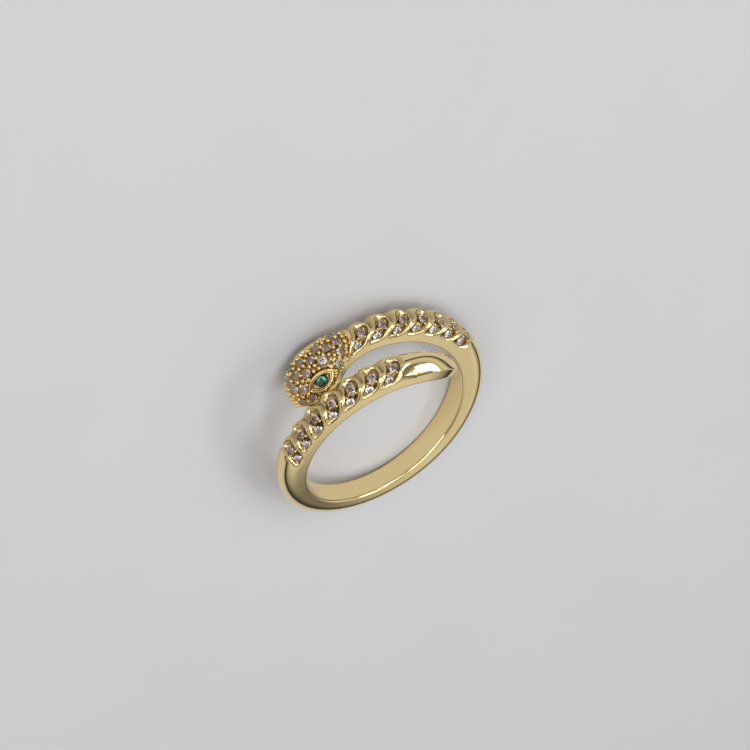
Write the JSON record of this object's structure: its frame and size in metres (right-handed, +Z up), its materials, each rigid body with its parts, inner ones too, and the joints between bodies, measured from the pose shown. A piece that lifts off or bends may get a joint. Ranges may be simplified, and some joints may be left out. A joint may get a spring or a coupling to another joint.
{
  "type": "snake ring",
  "caption": "Gold finger ring shaped as a snake that wraps round the finger, with stone-set ribbed arms, a paved head, green stone eyes and a plain pointed tail.",
  "frame": {"origin": "on the table, under the middle of the ring's box, with the ring lying on its side, head side down", "axes": "+Z up from the table, close to the finger hole's axis; -Y towards the head and tail tip, which lie over the top of the finger"},
  "size_m": [0.022, 0.0218, 0.0083],
  "materials": {
    "gold": "polished pale yellow gold",
    "clear_stone": "faceted and polished",
    "champagne_stone": "faceted and polished",
    "green_stone": "faceted and polished"
  },
  "bodies": {
    "root": {"band": "gold", "neck_stones": "clear_stone", "tail_stones": "clear_stone", "head_stones": "champagne_stone", "eye_stone_left": "green_stone", "eye_stone_right": "green_stone"}
  },
  "joints": []
}
